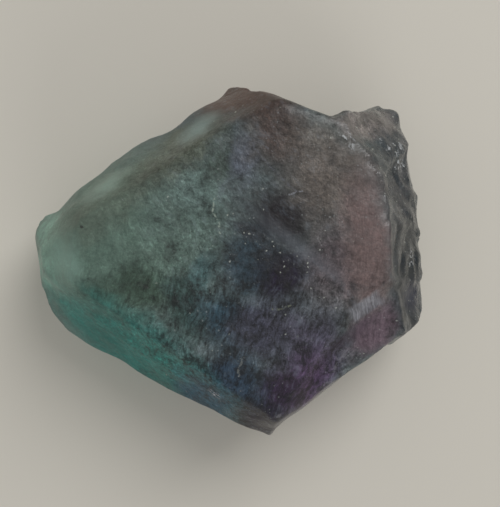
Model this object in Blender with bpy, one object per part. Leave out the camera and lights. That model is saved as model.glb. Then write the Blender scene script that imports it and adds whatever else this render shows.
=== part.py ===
"""Fluorite octahedron: one solid cleavage crystal, flattened, resting on a broad octahedral face."""

import math

import bmesh
import bpy
from mathutils import Matrix, Vector, noise

MM = 0.001
NODE = "fluorite_crystal"

# Driving dimensions, in millimetres. The crystal is set out round its own upright axis and
# centred at the end. A plane is (azimuth, lean, reach, height): it faces the azimuth, it lies
# at that reach from the axis at that height, and a positive lean makes it face upwards.
THICKNESS = 15.0
GIRDLE = 6.0
BLANK = 60.0

# The eight octahedral directions: the upper three face up by CLEAVAGE_LEAN, the lower three down.
CLEAVAGE_LEAN = 19.47
UPPER_AZIMUTHS = (125.0, 245.0, 5.0)

TOP = (0.0, 90.0, 0.0, THICKNESS)
BOTTOM = (0.0, -90.0, 0.0, 0.0)
RIDGE_DIP = (53.0, 87.5, 1.5, THICKNESS)
HORN_BREAK = (35.6, 33.6, 12.9, THICKNESS)

UPPER_FACETS = (
    (121.0, 26.6, 9.75, THICKNESS),
    (236.0, 28.4, 10.45, THICKNESS),
    (4.0, 22.2, 12.2, THICKNESS),
    (178.0, 42.0, 14.8, THICKNESS),
    (181.0, 18.0, 18.0, THICKNESS - 3.5),
    (216.0, 24.0, 16.3, THICKNESS - 5.0),
    (150.0, 30.0, 15.4, THICKNESS - 3.0),
)
STEEP_SIDES = (
    (125.0, 5.0, 13.85, GIRDLE),
    (240.0, 4.0, 14.55, GIRDLE),
    (244.5, 4.0, 14.4, GIRDLE),
    (3.4, 5.0, 15.9, GIRDLE),
    (10.8, 5.0, 16.15, GIRDLE),
    (67.5, 8.0, 14.75, GIRDLE),
    (-54.5, 8.0, 14.6, GIRDLE),
    (180.5, 4.0, 19.5, GIRDLE),
    (215.8, 4.0, 17.75, GIRDLE),
    (-28.8, 6.0, 16.7, GIRDLE),
    (84.5, 5.0, 15.2, GIRDLE),
    (-88.0, 5.0, 16.75, GIRDLE),
)
UNDERCUTS = (
    (65.0, -CLEAVAGE_LEAN, 14.35, 7.5),
    (-55.0, -CLEAVAGE_LEAN, 14.1, 7.5),
    (185.0, -CLEAVAGE_LEAN, 19.2, 7.0),
    (125.0, -14.0, 13.9, 5.6),
    (241.0, -14.0, 14.6, 5.6),
    (7.0, -14.0, 16.0, 5.6),
)

# The horn: a lobe left standing at one corner, below a rough break.
HORN = (
    (0.0, 90.0, 0.0, THICKNESS - 0.75),
    (37.4, 33.0, 13.05, THICKNESS),
    (125.0, 10.0, 5.05, THICKNESS - 0.4),
    (108.0, 4.0, 9.15, THICKNESS - 6.0),
    (36.7, 5.0, 18.3, THICKNESS - 8.0),
    (21.0, 5.0, 17.0, THICKNESS - 8.0),
    (10.8, 5.0, 16.0, GIRDLE),
    (65.0, -36.0, 17.6, 5.2),
    (20.0, -20.0, 16.6, 4.8),
    (4.0, 22.2, 12.5, THICKNESS),
    (245.0, CLEAVAGE_LEAN, -9.4, 10.0),
    (0.0, -90.0, 0.0, 1.6),
)

# Cleavage steps: each block of planes is taken away. Its planes face out of the block.
BACK_STEP = (
    (245.0, CLEAVAGE_LEAN, -13.8, 11.4),
    (185.0, -CLEAVAGE_LEAN, -0.6, 11.4),
)
STEPS = {
    "corner_terrace": (
        (128.7, -50.0, -9.1, THICKNESS),
        (147.0, -45.0, -9.8, THICKNESS),
        (126.0, -86.5, -10.6, THICKNESS - 1.25),
    ),
    "right_step": (
        (125.0, CLEAVAGE_LEAN, -13.45, 7.5),
        (185.0, -CLEAVAGE_LEAN, -4.2, 10.8),
        (65.0, -CLEAVAGE_LEAN, -1.2, 10.8),
    ),
    "left_step": (
        (5.0, CLEAVAGE_LEAN, -18.6, 7.0),
        (65.0, -CLEAVAGE_LEAN, -5.8, 6.6),
        (305.0, -CLEAVAGE_LEAN, -5.4, 6.6),
    ),
    "base_step": (
        (0.0, 90.0, 0.0, 0.55),
        (185.0, -30.0, -6.6, 0.0),
        (65.0, 30.0, 6.0, 0.0),
    ),
}

# Three-sided growth pits in the base: (x, y, reach of each side, depth).
PITS = (
    (-7.6, 3.1, 1.05, 0.5),
    (-3.2, -6.4, 0.7, 0.36),
    (-11.8, -1.8, 0.55, 0.3),
    (1.6, 3.6, 0.8, 0.4),
    (-2.4, 8.2, 0.5, 0.3),
    (3.4, -9.6, 0.6, 0.32),
)

# Shell-like hollows and edge chips, each left by a ball that sinks to a depth below a surface
# point: (x, y, z, azimuth, lean, radius, depth).
SCOOPS = (
    (10.4, 10.6, 12.6, 35.6, 33.6, 8.0, 0.42),
    (13.2, 11.6, 8.9, 32.0, 24.0, 5.0, 0.45),
    (13.4, 5.7, 11.1, 8.0, 22.0, 8.0, 0.4),
    (14.2, 0.0, 10.1, 2.0, 22.0, 11.0, 0.36),
    (14.6, -4.3, 9.7, -6.0, 18.0, 7.0, 0.4),
    (-5.2, 12.4, 7.0, 125.0, 6.0, 9.0, 0.26),
    (-14.1, 6.9, 6.4, 127.0, 10.0, 8.0, 0.3),
    (-18.5, 3.6, 7.2, 140.0, 10.0, 2.6, 0.4),
    (-7.6, 10.9, 3.0, 125.0, -16.0, 12.0, 0.5),
    (-9.2, -10.3, 2.5, 241.0, -16.0, 11.0, 0.55),
    (15.0, -1.0, 2.5, 7.0, -18.0, 10.0, 0.55),
)
FACET = 0.9

# Relief: every face is refined to short edges, then each corner moves in a smooth field. The
# break on the +X side is the roughest, and the broad upper face the smoothest.
EDGE = 1.75
REFINE_ROUNDS = 5
FLAT = 0.01
WAVE = 5.4
RIPPLE = 2.2
RIPPLE_SHARE = 0.35
RELIEF_TOP = 0.16
RELIEF_SIDE = 0.34
RELIEF_BREAK = 0.62
BREAK_AZIMUTH = 20.0
BREAK_FROM = 11.5
BREAK_FADE = 3.0
TOP_FROM = THICKNESS - 2.0
TOP_FADE = 1.5
REST_BAND = 0.3
RELIEF_SEED = 1795465957

SPAR_COLOUR = (0.11, 0.15, 0.15, 1.0)
SPAR_ROUGHNESS = 0.45
SPAR_IOR = 1.434


def share(value, start, width):
    """How far a value has come from the start, across a width, from 0 to 1."""
    return min(max((value - start) / width, 0.0), 1.0)


def normal_of(azimuth, lean):
    """The outward normal of a plane that faces this way."""
    a, b = math.radians(azimuth), math.radians(lean)
    return Vector((math.cos(a) * math.cos(b), math.sin(a) * math.cos(b), math.sin(b)))


def point_of(azimuth, reach, height):
    a = math.radians(azimuth)
    return Vector((reach * math.cos(a), reach * math.sin(a), height)) * MM


def convex(name, planes, centre=(0.0, 0.0)):
    """A closed block round the centre: everything behind all of the planes."""
    work = bmesh.new()
    bmesh.ops.create_cube(work, size=2 * BLANK * MM)
    for azimuth, lean, reach, height in planes:
        cut = bmesh.ops.bisect_plane(
            work,
            geom=work.verts[:] + work.edges[:] + work.faces[:],
            dist=1e-7,
            plane_co=point_of(azimuth, reach, height),
            plane_no=normal_of(azimuth, lean),
            clear_outer=True,
        )
        rim = [item for item in cut["geom_cut"] if isinstance(item, bmesh.types.BMEdge)]
        if rim:
            bmesh.ops.contextual_create(work, geom=rim)
    bmesh.ops.recalc_face_normals(work, faces=work.faces[:])
    bmesh.ops.translate(work, vec=Vector((*centre, 0.0)) * MM, verts=work.verts[:])
    mesh = bpy.data.meshes.new(name)
    work.to_mesh(mesh)
    work.free()
    block = bpy.data.objects.new(name, mesh)
    bpy.context.scene.collection.objects.link(block)
    return block


def pit(index, x, y, reach, depth):
    """A three-sided spike that stands in the base, point up."""
    lean = math.degrees(math.atan2(reach, depth))
    sides = tuple((azimuth, lean, reach, 0.0) for azimuth in UPPER_AZIMUTHS)
    floor = (0.0, -90.0, 0.0, -depth)
    return convex(f"pit_{index}", sides + (floor,), (x, y))


def combine(body, tool, operation):
    """Joins the tool to the body, or takes it away, and removes the tool."""
    boolean = body.modifiers.new(tool.name, "BOOLEAN")
    boolean.operation = operation
    boolean.solver = "EXACT"
    boolean.object = tool
    bpy.context.view_layer.objects.active = body
    bpy.ops.object.modifier_apply(modifier=boolean.name)
    bpy.data.objects.remove(tool)


def scoop(index, x, y, z, azimuth, lean, radius, depth):
    """A faceted ball that leaves a shell-like hollow."""
    centre = Vector((x, y, z)) + normal_of(azimuth, lean) * (radius - depth)
    work = bmesh.new()
    rounds = 1 + round(math.log2(radius / FACET))
    bmesh.ops.create_icosphere(work, subdivisions=rounds, radius=radius * MM)
    bmesh.ops.translate(work, vec=centre * MM, verts=work.verts[:])
    mesh = bpy.data.meshes.new(f"scoop_{index}")
    work.to_mesh(mesh)
    work.free()
    ball = bpy.data.objects.new(mesh.name, mesh)
    bpy.context.scene.collection.objects.link(ball)
    return ball


def flat_edges(work, plane):
    """The edges that lie within one flat face of the crystal."""
    pairs = ((edge, edge.link_faces) for edge in work.edges)
    return [edge for edge, two in pairs if len(two) == 2 and two[0][plane] == two[1][plane]]


def even_out(work, plane):
    """Turns badly placed edges, and centres the corners that lie within a flat face."""
    flat = flat_edges(work, plane)
    bmesh.ops.beautify_fill(work, faces=work.faces[:], edges=flat, method="ANGLE")
    flat = set(flat_edges(work, plane))
    inner = [vert for vert in work.verts if flat.issuperset(vert.link_edges)]
    centres = []
    for vert in inner:
        around = [edge.other_vert(vert).co for edge in vert.link_edges]
        centres.append(sum(around, Vector()) / len(around))
    for vert, centre in zip(inner, centres):
        vert.co = centre


def refine(work):
    """Splits every face into triangles with short edges."""
    bmesh.ops.dissolve_limit(work, angle_limit=FLAT, verts=work.verts[:], edges=work.edges[:])
    plane = work.faces.layers.int.new("plane")
    for index, face in enumerate(work.faces):
        face[plane] = index
    bmesh.ops.triangulate(work, faces=work.faces[:])
    for _ in range(REFINE_ROUNDS):
        even_out(work, plane)
        long = [edge for edge in work.edges if edge.calc_length() > EDGE * MM]
        bmesh.ops.subdivide_edges(work, edges=long, cuts=1)
        bmesh.ops.triangulate(work, faces=work.faces[:])
        even_out(work, plane)


def relief_at(point):
    """How the surface is moved here, in millimetres."""
    top = share(point.z / MM, TOP_FROM, TOP_FADE)
    rough = share(point.dot(normal_of(BREAK_AZIMUTH, 0.0)) / MM, BREAK_FROM, BREAK_FADE)
    amount = RELIEF_SIDE + (RELIEF_TOP - RELIEF_SIDE) * top
    amount += (RELIEF_BREAK - amount) * rough
    wave = noise.noise_vector(point / (WAVE * MM))
    return amount * (wave + RIPPLE_SHARE * noise.noise_vector(point / (RIPPLE * MM)))


def carve_relief(work):
    """Moves each corner in a smooth field. The base stays flat where it rests."""
    noise.seed_set(RELIEF_SEED)
    for vert in work.verts:
        move = relief_at(vert.co) * MM
        move.z *= share(vert.co.z / MM, 0.0, REST_BAND)
        vert.co += move
        vert.co.z = max(vert.co.z, 0.0)


def centre_on_base(obj):
    """Puts the middle of the box, at the height of the base, on the origin."""
    xs, ys, zs = zip(*(vert.co for vert in obj.data.vertices))
    middle = Vector(((min(xs) + max(xs)) / 2, (min(ys) + max(ys)) / 2, min(zs)))
    obj.data.transform(Matrix.Translation(-middle))


def finish_solid(obj):
    """Refines the solid and carves its relief."""
    work = bmesh.new()
    work.from_mesh(obj.data)
    refine(work)
    carve_relief(work)
    work.to_mesh(obj.data)
    work.free()
    centre_on_base(obj)


def crystal_material():
    """Pale grey-green spar: a clear, slightly rough mineral."""
    material = bpy.data.materials.new("fluorite")
    material.use_nodes = True
    shader = material.node_tree.nodes["Principled BSDF"]
    shader.inputs["Base Color"].default_value = SPAR_COLOUR
    shader.inputs["Roughness"].default_value = SPAR_ROUGHNESS
    shader.inputs["Metallic"].default_value = 0.0
    shader.inputs["IOR"].default_value = SPAR_IOR
    return material


def main():
    for old in list(bpy.data.objects):
        bpy.data.objects.remove(old)
    shell = (TOP, BOTTOM, RIDGE_DIP, HORN_BREAK)
    crystal = convex(NODE, shell + UPPER_FACETS + STEEP_SIDES + UNDERCUTS)
    combine(crystal, convex("back_step", BACK_STEP), "DIFFERENCE")
    combine(crystal, convex("horn", HORN), "UNION")
    for name, planes in STEPS.items():
        combine(crystal, convex(name, planes), "DIFFERENCE")
    for index, spike in enumerate(PITS):
        combine(crystal, pit(index, *spike), "DIFFERENCE")
    for index, ball in enumerate(SCOOPS):
        combine(crystal, scoop(index, *ball), "DIFFERENCE")
    finish_solid(crystal)
    crystal.data.materials.append(crystal_material())


main()
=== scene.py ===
"""Fluorite octahedron: the look of one flattened cleavage crystal, on a pale studio floor.

Lengths are in millimetres unless a name or a property says otherwise, and MM turns them into
metres. Angles are in degrees.
"""

import math

import bpy
import numpy as np
from mathutils import Matrix, Vector, noise


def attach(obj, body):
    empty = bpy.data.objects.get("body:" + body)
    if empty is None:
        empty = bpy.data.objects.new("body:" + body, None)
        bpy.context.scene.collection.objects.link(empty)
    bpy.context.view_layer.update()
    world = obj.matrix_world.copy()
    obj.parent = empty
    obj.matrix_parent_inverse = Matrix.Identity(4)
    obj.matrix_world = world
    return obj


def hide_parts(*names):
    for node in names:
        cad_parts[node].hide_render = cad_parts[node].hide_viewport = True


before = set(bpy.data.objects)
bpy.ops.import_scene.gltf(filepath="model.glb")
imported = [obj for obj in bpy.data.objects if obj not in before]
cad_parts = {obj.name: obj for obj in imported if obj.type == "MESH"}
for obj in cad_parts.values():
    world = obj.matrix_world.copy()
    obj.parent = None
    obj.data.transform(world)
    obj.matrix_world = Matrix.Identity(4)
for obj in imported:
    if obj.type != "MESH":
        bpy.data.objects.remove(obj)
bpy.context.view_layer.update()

bl_info = {
    "name": "Fluorite octahedron",
    "version": (1, 0, 0),
    "blender": (4, 5, 0),
    "location": "View3D > Sidebar > Crystal",
    "description": "Builds a frosted, colour-zoned fluorite cleavage octahedron",
    "category": "Add Mesh",
}

MM = 0.001
NODE = "fluorite_crystal"
PIECE = "fluorite_octahedron"

# The body's planes. The crystal is set out round its own upright axis, and AXIS is where that
# axis stands in the row frame. A plane is (azimuth, lean, reach, height): it faces the azimuth,
# lies at that reach from the axis at that height, and a positive lean makes it face upwards.
AXIS = (1.3988, 0.4285)
THICKNESS = 15.0
GIRDLE = 6.0
BLANK = 60.0
CLEAVAGE_LEAN = 19.47
UPPER_AZIMUTHS = (125.0, 245.0, 5.0)
BISECT_SNAP = 1e-7

SHELL = (
    (0.0, 90.0, 0.0, THICKNESS),
    (0.0, -90.0, 0.0, 0.0),
    (53.0, 87.5, 1.5, THICKNESS),
    (35.6, 33.6, 12.9, THICKNESS),
)
UPPER_FACETS = (
    (121.0, 26.6, 9.75, THICKNESS),
    (236.0, 28.4, 10.45, THICKNESS),
    (4.0, 22.2, 12.2, THICKNESS),
    (178.0, 42.0, 14.8, THICKNESS),
    (181.0, 18.0, 18.0, THICKNESS - 3.5),
    (216.0, 24.0, 16.3, THICKNESS - 5.0),
    (150.0, 30.0, 15.4, THICKNESS - 3.0),
)
STEEP_SIDES = (
    (125.0, 5.0, 13.85, GIRDLE),
    (240.0, 4.0, 14.55, GIRDLE),
    (244.5, 4.0, 14.4, GIRDLE),
    (3.4, 5.0, 15.9, GIRDLE),
    (10.8, 5.0, 16.15, GIRDLE),
    (67.5, 8.0, 14.75, GIRDLE),
    (-54.5, 8.0, 14.6, GIRDLE),
    (180.5, 4.0, 19.5, GIRDLE),
    (215.8, 4.0, 17.75, GIRDLE),
    (-28.8, 6.0, 16.7, GIRDLE),
    (84.5, 5.0, 15.2, GIRDLE),
    (-88.0, 5.0, 16.75, GIRDLE),
)
UNDERCUTS = (
    (65.0, -CLEAVAGE_LEAN, 14.35, 7.5),
    (-55.0, -CLEAVAGE_LEAN, 14.1, 7.5),
    (185.0, -CLEAVAGE_LEAN, 19.2, 7.0),
    (125.0, -14.0, 13.9, 5.6),
    (241.0, -14.0, 14.6, 5.6),
    (7.0, -14.0, 16.0, 5.6),
)
HORN = (
    (0.0, 90.0, 0.0, THICKNESS - 0.75),
    (37.4, 33.0, 13.05, THICKNESS),
    (125.0, 10.0, 5.05, THICKNESS - 0.4),
    (108.0, 4.0, 9.15, THICKNESS - 6.0),
    (36.7, 5.0, 18.3, THICKNESS - 8.0),
    (21.0, 5.0, 17.0, THICKNESS - 8.0),
    (10.8, 5.0, 16.0, GIRDLE),
    (65.0, -36.0, 17.6, 5.2),
    (20.0, -20.0, 16.6, 4.8),
    (4.0, 22.2, 12.5, THICKNESS),
    (245.0, CLEAVAGE_LEAN, -9.4, 10.0),
    (0.0, -90.0, 0.0, 1.6),
)
BACK_STEP = (
    (245.0, CLEAVAGE_LEAN, -13.8, 11.4),
    (185.0, -CLEAVAGE_LEAN, -0.6, 11.4),
)
STEPS = {
    "corner_terrace": (
        (128.7, -50.0, -9.1, THICKNESS),
        (147.0, -45.0, -9.8, THICKNESS),
        (126.0, -86.5, -10.6, THICKNESS - 1.25),
    ),
    "right_step": (
        (125.0, CLEAVAGE_LEAN, -13.45, 7.5),
        (185.0, -CLEAVAGE_LEAN, -4.2, 10.8),
        (65.0, -CLEAVAGE_LEAN, -1.2, 10.8),
    ),
    "left_step": (
        (5.0, CLEAVAGE_LEAN, -18.6, 7.0),
        (65.0, -CLEAVAGE_LEAN, -5.8, 6.6),
        (305.0, -CLEAVAGE_LEAN, -5.4, 6.6),
    ),
    "base_step": (
        (0.0, 90.0, 0.0, 0.55),
        (185.0, -30.0, -6.6, 0.0),
        (65.0, 30.0, 6.0, 0.0),
    ),
}

# Three-sided growth pits in the base: (x, y, reach of each side, depth).
PITS = (
    (-7.6, 3.1, 1.05, 0.5),
    (-3.2, -6.4, 0.7, 0.36),
    (-11.8, -1.8, 0.55, 0.3),
    (1.6, 3.6, 0.8, 0.4),
    (-2.4, 8.2, 0.5, 0.3),
    (3.4, -9.6, 0.6, 0.32),
)

# Shell-like hollows: (x, y, z, azimuth, lean, radius, depth) of a ball that sinks to the depth.
SCOOPS = (
    (10.4, 10.6, 12.6, 35.6, 33.6, 8.0, 0.42),
    (13.2, 11.6, 8.9, 32.0, 24.0, 5.0, 0.45),
    (13.4, 5.7, 11.1, 8.0, 22.0, 8.0, 0.4),
    (14.2, 0.0, 10.1, 2.0, 22.0, 11.0, 0.36),
    (14.6, -4.3, 9.7, -6.0, 18.0, 7.0, 0.4),
    (-5.2, 12.4, 7.0, 125.0, 6.0, 9.0, 0.26),
    (-14.1, 6.9, 6.4, 127.0, 10.0, 8.0, 0.3),
    (-18.5, 3.6, 7.2, 140.0, 10.0, 2.6, 0.4),
    (-7.6, 10.9, 3.0, 125.0, -16.0, 12.0, 0.5),
    (-9.2, -10.3, 2.5, 241.0, -16.0, 11.0, 0.55),
    (15.0, -1.0, 2.5, 7.0, -18.0, 10.0, 0.55),
)
BALL_ROUNDS = 5

# The relief that the solid carries too.
WAVE = 5.4
RIPPLE = 2.2
RIPPLE_SHARE = 0.35
RELIEF_TOP = 0.16
RELIEF_SIDE = 0.34
RELIEF_BREAK = 0.62
BREAK_AZIMUTH = 20.0
BREAK_FROM = 11.5
BREAK_FADE = 3.0
TOP_FROM = THICKNESS - 2.0
TOP_FADE = 1.5
REST_BAND = 0.3
RELIEF_SEED = 1795465957

# Finer shape that only the skin has. Each fold is (azimuth, lean, pitch, bend, depth).
FOLDS = (
    (65.0, -CLEAVAGE_LEAN, 4.3, 0.9, 0.32),
    (-55.0, CLEAVAGE_LEAN, 3.2, -0.7, 0.22),
    (20.0, 70.0, 2.3, 0.6, 0.15),
    (40.0, 12.0, 1.1, 1.2, 0.07),
)
JUMP_LEVELS = 5.0
JUMP_EDGE = 0.25
JUMP_REACH = 0.3

# Noises that shape the skin: size of a feature, height, offset.
BEND = (3.4, 1.5, (3.0, 9.0, 4.0))
JUMPS = (2.1, 1.0, (8.0, 2.0, 5.0))
GRIT = (0.6, 0.014, (1.0, 5.0, 2.0))
FINE_FROST = (0.55, 0.018, (0.0, 0.0, 0.0))
WIDE_FROST = (1.6, 0.035, (7.0, 3.0, 1.0))
BRUISES = (0.8, 1.0, (2.0, 6.0, 9.0))
BRUISE_FADE = (-0.1, 0.5)
BRUISE_DEPTH = 0.13

# Where the side and the horn are broken: azimuth, reach at which it starts, fade.
SIDE_AZIMUTH = 4.0
HORN_AZIMUTH = 35.6
BROKEN = (
    (SIDE_AZIMUTH, 12.0, 0.7),
    (HORN_AZIMUTH, 12.6, 0.7),
)

# The attribute that marks outward edges, and how sharp and how near to an edge it reaches.
RIM = "rim"
RIM_BEND = (0.12, 0.35)
RIM_SPREAD = 5

# Wear, most on the corners of the pale end: where it starts and how far it takes to be full.
WORN = "worn"
WORN_END = (-8.0, 7.0)
WORN_TOP = (11.0, 2.0)
WORN_STEPS = 10
EDGE_WEAR = 0.2
WEAR_FACTOR = 0.5
WEAR_ROUNDS = 4.0

# Pushes on the outline: name, middle (x, y), reach, push (x, y).
NUDGES = (
    ("horn corner", 13.3, 12.6, 0.9, 0.55, 0.6),
    ("horn end", 12.8, 11.6, 1.4, 0.5, 0.05),
    ("horn side", 14.1, 10.2, 1.5, 0.3, 0.0),
    ("horn top", 11.2, 13.0, 1.1, 0.1, -0.2),
    ("side bay", 15.6, 3.9, 2.4, 0.3, 0.0),
    ("right edge", 16.5, -1.8, 2.2, -0.1, 0.0),
    ("low corner", 14.8, -6.2, 1.8, 0.5, -0.05),
    ("apex corner", -2.6, 14.9, 1.2, 0.5, 0.0),
    ("foot", 0.8, -16.2, 1.6, 0.58, 0.0),
    ("foot side", 4.8, -13.6, 2.4, 0.12, -0.12),
    ("lower left rim", -14.2, -8.8, 2.8, -0.12, -0.2),
    ("lower rim", -8.0, -12.0, 2.4, -0.06, -0.12),
    ("nub", -17.9, 1.2, 2.4, -0.34, 0.0),
    ("nub shoulder", -17.9, 4.7, 1.5, 0.26, -0.5),
    ("shoulder rim", -14.9, 6.1, 2.4, -0.16, 0.22),
    ("upper left rim", -10.2, 9.0, 2.4, -0.15, 0.24),
    ("notch shoulder", -4.6, 12.3, 2.2, -0.28, 0.42),
    ("apex", -1.3, 15.7, 1.4, 0.0, 0.15),
    ("brown rim", 5.0, 13.4, 2.0, 0.0, -0.02),
    ("corner rim", 8.2, -11.8, 2.4, 0.1, -0.1),
)

# The stage, in metres.
FLOOR_SIZE = 3.0
FLOOR_GAP = 0.00005
FLOOR_ROUGHNESS = 0.9
KEY_PLACE = (0.22, 0.30, 0.42)
KEY_SIZE = 0.35
FILL_PLACE = (0.17, -0.49, 0.22)
FILL_SIZE = 0.4
EYE = (0.00168, 0.00038, 0.1)
SENSOR_WIDTH = 36.0
LENS_RATIO = 85.0 / 43.1
NEAREST_SEEN = 0.005


def srgb(red, green, blue):
    """A linear colour from 0 to 255 display values."""
    return tuple(
        v / 12.92 if v <= 0.04045 else ((v + 0.055) / 1.055) ** 2.4
        for v in (red / 255, green / 255, blue / 255)
    )


# --- Shader maths ---
class Socket:
    """A number in a material, on which Python's own operators add Math nodes."""

    def __init__(self, paint, socket):
        self.paint = paint
        self.socket = socket

    def maths(self, operation, *others):
        inputs = dict(enumerate((self, *others)))
        return self.paint.node("ShaderNodeMath", {"operation": operation}, inputs)

    def __add__(self, other):
        return self.maths("ADD", other)

    def __sub__(self, other):
        return self.maths("SUBTRACT", other)

    def __mul__(self, other):
        return self.maths("MULTIPLY", other)

    def __rsub__(self, other):
        return (self * -1.0).maths("ADD", other)

    __radd__ = __add__
    __rmul__ = __mul__

    def least(self, other):
        return self.maths("MINIMUM", other)

    def most(self, other):
        return self.maths("MAXIMUM", other)

    def size(self):
        return self.maths("ABSOLUTE")

    def rise(self, low, high, full=1.0):
        """0 at low and full at high, with a soft start and end. Low may be the larger."""
        settings = {"interpolation_type": "SMOOTHSTEP", "clamp": True}
        inputs = {"Value": self, "From Min": low, "From Max": high, "To Max": full}
        return self.paint.node("ShaderNodeMapRange", settings, inputs)


class Paint:
    """One material, its Principled shader and the nodes behind it."""

    def __init__(self, name):
        self.material = bpy.data.materials.new(name)
        self.material.use_nodes = True
        self.tree = self.material.node_tree
        self.shader = self.tree.nodes["Principled BSDF"]
        self.output = self.tree.nodes["Material Output"]

    def node(self, kind, settings=None, inputs=None, output=0):
        """Adds a node: its settings first, then the values or links of its sockets."""
        made = self.tree.nodes.new(kind)
        for name, value in (settings or {}).items():
            setattr(made, name, value)
        known = {socket.identifier: socket for socket in made.inputs}
        known.update({socket.name: socket for socket in made.inputs if socket.enabled})
        for name, value in (inputs or {}).items():
            self.feed(made.inputs[name] if isinstance(name, int) else known[name], value)
        outputs = [socket for socket in made.outputs if socket.enabled]
        picked = made.outputs[output] if isinstance(output, str) else outputs[output]
        return Socket(self, picked)

    def feed(self, socket, value):
        """Links a value to a socket, or sets it there when it is plain."""
        if isinstance(value, Socket):
            self.tree.links.new(value.socket, socket)
        elif socket.type == "RGBA" and len(value) == 3:
            socket.default_value = (*value, 1.0)
        else:
            socket.default_value = value

    def finish(self, values):
        """Feeds the shader's sockets by name."""
        for name, value in values.items():
            self.feed(self.shader.inputs[name], value)

    def mix(self, factor, first, second, blend="MIX"):
        settings = {"data_type": "RGBA", "blend_type": blend}
        return self.node("ShaderNodeMix", settings, {"Factor": factor, "A": first, "B": second})

    def over(self, colour, shade, mask):
        """The colour with a display colour laid over it, as far as the mask says."""
        return self.mix(mask, colour, srgb(*shade))

    def vector(self, operation, *values, output=0):
        inputs = dict(enumerate(values))
        return self.node("ShaderNodeVectorMath", {"operation": operation}, inputs, output)

    def noise(self, place, size, detail, rough=0.55, warp=0.0, output=0):
        inputs = {"Vector": place, "Scale": 1.0 / size, "Detail": detail}
        inputs |= {"Roughness": rough, "Distortion": warp}
        return self.node("ShaderNodeTexNoise", {"noise_dimensions": "3D"}, inputs, output)

    def parts(self, place):
        """The three numbers of a vector or a colour."""
        split = self.node("ShaderNodeSeparateXYZ", None, {"Vector": place})
        return [Socket(self, socket) for socket in split.socket.node.outputs]

    def grey(self, value):
        return self.node("ShaderNodeCombineXYZ", None, {"X": value, "Y": value, "Z": value})

    def framed(self, place, middle, scale, turn):
        """The place as seen from a middle point, turned about upright and in this scale."""
        inputs = {
            "Vector": place,
            "Location": (*middle, 0.0),
            "Rotation": (0.0, 0.0, math.radians(turn)),
            "Scale": scale,
        }
        return self.node("ShaderNodeMapping", {"vector_type": "TEXTURE"}, inputs)


# --- Shape ---
def share(value, start, width):
    """How far values have come from the start, across a width, from 0 to 1."""
    return np.clip((value - start) / width, 0.0, 1.0)


def normal_of(azimuth, lean):
    a, b = math.radians(azimuth), math.radians(lean)
    return Vector((math.cos(a) * math.cos(b), math.sin(a) * math.cos(b), math.sin(b)))


def point_of(azimuth, reach, height):
    a = math.radians(azimuth)
    return Vector((reach * math.cos(a), reach * math.sin(a), height)) * MM


def deselect():
    for obj in bpy.context.selected_objects:
        obj.select_set(False)


def block(name, planes, centre=(0.0, 0.0)):
    """A closed block: a cube cut back until it lies behind all of the planes."""
    deselect()
    bpy.ops.mesh.primitive_cube_add(size=2 * BLANK * MM, location=(0.0, 0.0, 0.0))
    piece = bpy.context.object
    piece.name = name
    bpy.ops.object.mode_set(mode="EDIT")
    shift = Vector((*centre, 0.0)) * MM
    for azimuth, lean, reach, height in planes:
        bpy.ops.mesh.select_all(action="SELECT")
        bpy.ops.mesh.bisect(
            plane_co=point_of(azimuth, reach, height) + shift,
            plane_no=normal_of(azimuth, lean),
            use_fill=True,
            clear_outer=True,
            threshold=BISECT_SNAP,
        )
    bpy.ops.mesh.select_all(action="SELECT")
    bpy.ops.mesh.normals_make_consistent(inside=False)
    bpy.ops.object.mode_set(mode="OBJECT")
    return piece


def pit(index, x, y, reach, depth):
    """A three-sided spike that stands in the base, point up."""
    lean = math.degrees(math.atan2(reach, depth))
    sides = tuple((azimuth, lean, reach, 0.0) for azimuth in UPPER_AZIMUTHS)
    return block(f"pit_{index}", sides + ((0.0, -90.0, 0.0, -depth),), (x, y))


def scoop(index, x, y, z, azimuth, lean, radius, depth):
    """A ball that leaves a shell-like hollow."""
    centre = Vector((x, y, z)) + normal_of(azimuth, lean) * (radius - depth)
    deselect()
    bpy.ops.mesh.primitive_ico_sphere_add(
        subdivisions=BALL_ROUNDS, radius=radius * MM, location=centre * MM
    )
    ball = bpy.context.object
    ball.name = f"scoop_{index}"
    return ball


def apply_modifier(obj, kind, **settings):
    """Adds a modifier with these settings and applies it."""
    modifier = obj.modifiers.new(kind.title(), kind)
    for name, value in settings.items():
        setattr(modifier, name, value)
    bpy.context.view_layer.objects.active = obj
    bpy.ops.object.modifier_apply(modifier=modifier.name)


def combine(body, tool, operation):
    """Joins the tool to the body, or takes it away, and removes the tool."""
    apply_modifier(body, "BOOLEAN", operation=operation, solver="EXACT", object=tool)
    bpy.data.objects.remove(tool)


def rough_out():
    """The whole crystal as flat planes and balls leave it."""
    crystal = block(PIECE, SHELL + UPPER_FACETS + STEEP_SIDES + UNDERCUTS)
    combine(crystal, block("back_step", BACK_STEP), "DIFFERENCE")
    combine(crystal, block("horn", HORN), "UNION")
    for name, planes in STEPS.items():
        combine(crystal, block(name, planes), "DIFFERENCE")
    for index, spike in enumerate(PITS):
        combine(crystal, pit(index, *spike), "DIFFERENCE")
    for index, ball in enumerate(SCOOPS):
        combine(crystal, scoop(index, *ball), "DIFFERENCE")
    return crystal


def points_of(mesh):
    flat = np.empty(len(mesh.vertices) * 3, np.float32)
    mesh.vertices.foreach_get("co", flat)
    return flat.reshape(-1, 3).astype(float) / MM


def normals_of(mesh):
    flat = np.empty(len(mesh.vertices) * 3, np.float32)
    mesh.vertices.foreach_get("normal", flat)
    return flat.reshape(-1, 3).astype(float)


def place_points(mesh, points):
    mesh.vertices.foreach_set("co", (points * MM).astype(np.float32).ravel())
    mesh.update()


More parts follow.
